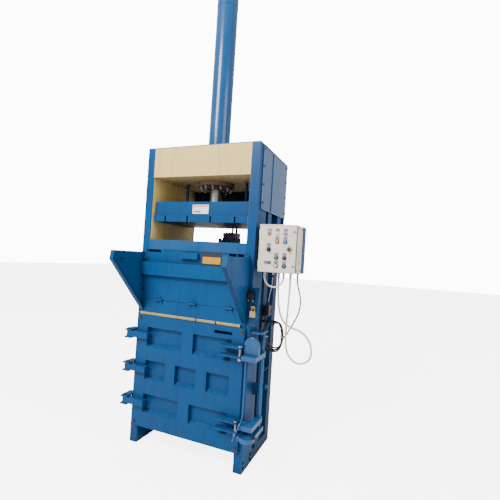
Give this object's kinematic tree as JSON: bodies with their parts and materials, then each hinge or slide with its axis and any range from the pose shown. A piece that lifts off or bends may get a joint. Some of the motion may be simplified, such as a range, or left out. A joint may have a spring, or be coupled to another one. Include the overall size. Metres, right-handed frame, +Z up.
{
  "type": "recycling baler",
  "caption": "Upright down-stroke baler with a ram above a framed press chamber, a tilting feed gate, a hinged bale door with a swinging lock and a side control box.",
  "frame": {"origin": "on the floor, midway between the four corner posts and under the ram", "axes": "+Z up, along the ram; -Y towards the feed gate and the door; +X towards the control box"},
  "size_m": [1.601, 1.36, 4.12],
  "materials": {
    "blue_paint": "satin enamel with wear and grime",
    "light_blue_paint": "satin enamel, slightly chalked",
    "gate_paint": "satin enamel, scuffed",
    "navy_paint": "satin enamel, grimy",
    "cream_paint": "matt cream enamel",
    "box_paint": "textured powder coat",
    "rust_steel": "rust brown, oily",
    "rod_chrome": "hard chrome with an oil film",
    "bright_steel": "zinc plated",
    "dark_steel": "blackened steel",
    "brass": "brass body",
    "motor_paint": "grey enamel",
    "valve_metal": "cast and machined",
    "lamp_lens": "coloured lenses",
    "button_orange": "gloss",
    "button_blue": "gloss",
    "button_green": "gloss",
    "button_black": "gloss",
    "button_cream": "gloss",
    "button_navy": "gloss",
    "button_yellow": "gloss",
    "conduit_plastic": "flexible conduit",
    "cable_grey": "pvc sheath",
    "cable_black": "rubber sheath"
  },
  "bodies": {
    "frame": {"right_side_frame": "blue_paint", "left_side_frame": "blue_paint", "side_covers": "light_blue_paint", "stop_rods": "blue_paint", "box_gasket": "cable_black", "roof_plate": "light_blue_paint", "crosshead": "cream_paint", "rear_header": "navy_paint", "header_fascia": "cream_paint", "cream_liners": "cream_paint", "sill_beam": "light_blue_paint", "rear_wall": "blue_paint", "chamber_floor": "blue_paint", "lower_band": "gate_paint", "strap_rail": "cream_paint", "right_cheek": "gate_paint", "left_cheek": "gate_paint", "cylinder_tube": "light_blue_paint", "gland_flange": "rust_steel", "flange_bolts": "bright_steel", "hinge_brackets": "blue_paint", "lock_brackets": "light_blue_paint", "pivot_pins": "dark_steel", "interlock_plate": "blue_paint", "interlock_switch": "dark_steel", "padlock": "brass", "box_body": "box_paint", "box_bracket": "blue_paint", "oil_tank": "blue_paint", "pump_motor": "motor_paint", "valve_block": "valve_metal", "hydraulic_pipes": "dark_steel", "loop_conduit": "conduit_plastic", "swag_conduit": "conduit_plastic", "sensor_cable": "cable_grey", "motor_cable": "cable_black", "motor_cable_tail": "cable_black", "motor_cable_hank": "cable_black", "cable_hook": "dark_steel", "side_junction": "dark_steel"},
    "ram": {"ram_rod": "rod_chrome", "platen": "blue_paint"},
    "feed_gate": {"gate_panel": "gate_paint", "gate_stiffener": "gate_paint"},
    "chamber_door": {"door_panel": "blue_paint", "door_back_plate": "blue_paint", "door_straps": "blue_paint", "keeper_bolts": "bright_steel"},
    "lock": {"lock_frame": "light_blue_paint", "lock_handle": "light_blue_paint"},
    "box_door": {"box_door": "box_paint", "pilot_lamps": "lamp_lens"},
    "button_orange_body": {"button_orange": "button_orange"},
    "button_blue_body": {"button_blue": "button_blue"},
    "button_green_body": {"button_green": "button_green"},
    "button_black_body": {"button_black": "button_black"},
    "button_cream_body": {"button_cream": "button_cream"},
    "button_navy_body": {"button_navy": "button_navy"},
    "selector_black_body": {"selector_black": "button_black"},
    "selector_yellow_body": {"selector_yellow": "button_yellow"}
  },
  "joints": [
    {"name": "ram_slide", "type": "slide", "parent": "frame", "child": "ram", "axis": [0, 0, -1], "range_m": [0, 1.25]},
    {"name": "gate_tilt", "type": "hinge", "parent": "frame", "child": "feed_gate", "pos_m": [0, -0.3364, 1.265], "axis": [1, 0, 0], "range_deg": [0, 44]},
    {"name": "door_swing", "type": "hinge", "parent": "frame", "child": "chamber_door", "pos_m": [-0.578, -0.367, 0.667], "axis": [0, 0, -1], "range_deg": [0, 115]},
    {"name": "lock_swing", "type": "hinge", "parent": "frame", "child": "lock", "pos_m": [0.612, -0.19, 0.7], "axis": [0, 0, 1], "range_deg": [0, 90]},
    {"name": "box_door_swing", "type": "hinge", "parent": "frame", "child": "box_door", "pos_m": [0.577, -0.319, 1.761], "axis": [0, 0, -1], "range_deg": [0, 90]},
    {"name": "button_orange_press", "type": "slide", "parent": "box_door", "child": "button_orange_body", "axis": [0, 1, 0], "range_m": [0, 0.004], "stiffness_N_per_m": 350, "springref_m": -0.003},
    {"name": "button_blue_press", "type": "slide", "parent": "box_door", "child": "button_blue_body", "axis": [0, 1, 0], "range_m": [0, 0.004], "stiffness_N_per_m": 350, "springref_m": -0.003},
    {"name": "button_green_press", "type": "slide", "parent": "box_door", "child": "button_green_body", "axis": [0, 1, 0], "range_m": [0, 0.004], "stiffness_N_per_m": 350, "springref_m": -0.003},
    {"name": "button_black_press", "type": "slide", "parent": "box_door", "child": "button_black_body", "axis": [0, 1, 0], "range_m": [0, 0.004], "stiffness_N_per_m": 350, "springref_m": -0.003},
    {"name": "button_cream_press", "type": "slide", "parent": "box_door", "child": "button_cream_body", "axis": [0, 1, 0], "range_m": [0, 0.004], "stiffness_N_per_m": 350, "springref_m": -0.003},
    {"name": "button_navy_press", "type": "slide", "parent": "box_door", "child": "button_navy_body", "axis": [0, 1, 0], "range_m": [0, 0.004], "stiffness_N_per_m": 350, "springref_m": -0.003},
    {"name": "selector_black_turn", "type": "hinge", "parent": "box_door", "child": "selector_black_body", "pos_m": [0.662, -0.335, 1.752], "axis": [0, -1, 0], "range_deg": [-45, 45]},
    {"name": "selector_yellow_turn", "type": "hinge", "parent": "box_door", "child": "selector_yellow_body", "pos_m": [0.8252, -0.335, 1.7581], "axis": [0, -1, 0], "range_deg": [-45, 45]}
  ]
}
